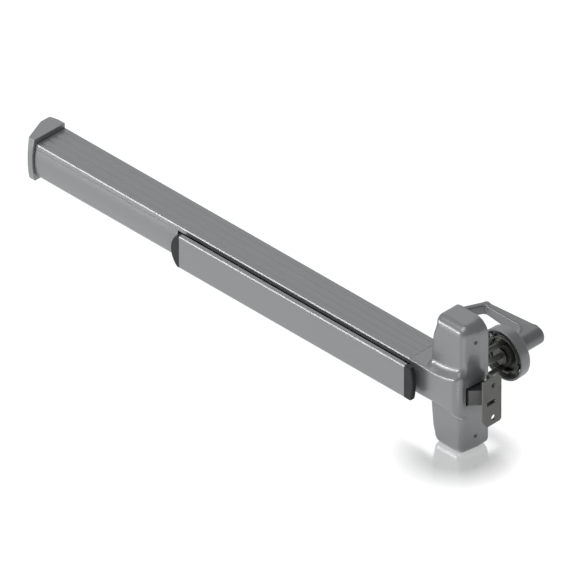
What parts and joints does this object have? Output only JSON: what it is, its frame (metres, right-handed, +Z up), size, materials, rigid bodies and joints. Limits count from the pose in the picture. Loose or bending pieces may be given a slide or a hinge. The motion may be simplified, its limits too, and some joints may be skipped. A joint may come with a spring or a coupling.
{
  "type": "panic bar",
  "caption": "Rim exit device: grooved rail with a sprung touch pad, cast latch head with bevelled bolt, frame strike, and an outside lever on a round rose.",
  "frame": {"origin": "the door's inside face at the centre of the head's four mounting holes, at the rail's centre height", "axes": "+X along the rail toward the latch edge of the door, +Y through the door to the outside, +Z up"},
  "size_m": [0.8649, 0.2035, 0.2032],
  "materials": {
    "rail_aluminium": "satin silver-grey coat on extruded aluminium",
    "cast_silver": "satin silver-grey coat on castings",
    "trim_silver": "satin grey coat, a little darker than the head",
    "black_plastic": "moulded, fine texture",
    "rubber_stop": "matte",
    "zinc_steel": "zinc plated",
    "dark_steel": "blackened",
    "bolt_steel": "ground",
    "strike_steel": "warm grey, lightly brushed",
    "spring_steel": "drawn wire",
    "nylon": "moulded nylon"
  },
  "bodies": {
    "frame": {"rail": "rail_aluminium", "rail_cover": "rail_aluminium", "end_cap": "cast_silver", "end_bracket": "zinc_steel", "end_cap_screw": "zinc_steel", "base_plate": "zinc_steel", "head_cover": "cast_silver", "cover_screws": "dark_steel", "latch_guide": "zinc_steel", "guide_screws": "zinc_steel", "rail_joiner": "zinc_steel", "crank_bracket_left": "zinc_steel", "crank_bracket_right": "zinc_steel", "crank_pins": "zinc_steel", "bracket_rivets": "zinc_steel", "rod_guides": "nylon", "rose": "trim_silver", "spring_cage": "dark_steel", "cage_screws": "zinc_steel", "mounting_posts": "dark_steel", "through_bolts": "zinc_steel", "lever_spring": "dark_steel", "pad_spring_left": "spring_steel", "pad_spring_right": "spring_steel", "latch_spring": "spring_steel"},
    "pad": {"touch_pad": "rail_aluminium", "pad_cap_left": "black_plastic", "pad_cap_right": "black_plastic", "pad_bracket_left": "zinc_steel", "pad_bracket_right": "zinc_steel", "pad_pins": "zinc_steel", "pad_screws": "zinc_steel", "pad_bumpers": "rubber_stop"},
    "crank_left": {"crank_left": "zinc_steel"},
    "crank_right": {"crank_right": "zinc_steel"},
    "rod": {"actuator_rod": "zinc_steel", "rod_pins": "zinc_steel", "rod_link": "zinc_steel", "link_pin": "zinc_steel"},
    "bolt": {"latch_bolt": "bolt_steel", "bolt_pin": "zinc_steel"},
    "lever": {"lever": "trim_silver", "lever_hub": "dark_steel", "retaining_ring": "dark_steel", "tailpiece": "dark_steel", "trim_cam": "dark_steel", "lever_set_screw": "dark_steel"},
    "strike": {"strike_plate": "strike_steel", "strike_keeper": "strike_steel", "strike_rivets": "strike_steel"}
  },
  "joints": [
    {"name": "pad_press", "type": "slide", "parent": "frame", "child": "pad", "axis": [0, 1, 0], "range_m": [0, 0.008], "stiffness_N_per_m": 2500, "springref_m": -0.008, "deforming": ["pad_spring_left", "pad_spring_right"]},
    {"name": "crank_left_turn", "type": "hinge", "parent": "frame", "child": "crank_left", "pos_m": [-0.41, -0.038, 0], "axis": [0, 0, 1], "range_deg": [0, 38]},
    {"name": "crank_right_turn", "type": "hinge", "parent": "frame", "child": "crank_right", "pos_m": [-0.15, -0.038, 0], "axis": [0, 0, 1], "range_deg": [0, 38]},
    {"name": "rod_slide", "type": "slide", "parent": "frame", "child": "rod", "axis": [-1, 0, 0], "range_m": [0, 0.019]},
    {"name": "bolt_slide", "type": "slide", "parent": "frame", "child": "bolt", "axis": [-1, 0, 0], "range_m": [0, 0.019], "deforming": ["latch_spring"]},
    {"name": "lever_turn", "type": "hinge", "parent": "frame", "child": "lever", "pos_m": [0, 0.1, 0.0056], "axis": [0, -1, 0], "range_deg": [0, 50], "stiffness_Nm_per_rad": 1.2, "springref_deg": -20.05},
    {"name": "strike_apart", "type": "slide", "parent": "frame", "child": "strike", "axis": [1, 0, 0], "range_m": [0, 0.06]}
  ],
  "couplings": [
    {"joint": "crank_left_turn", "follows": "pad_press", "rad_per_m": 82.9},
    {"joint": "crank_right_turn", "follows": "pad_press", "rad_per_m": 82.9},
    {"joint": "rod_slide", "follows": "pad_press", "ratio": 2.37},
    {"joint": "bolt_slide", "follows": "pad_press", "ratio": 2.37}
  ]
}
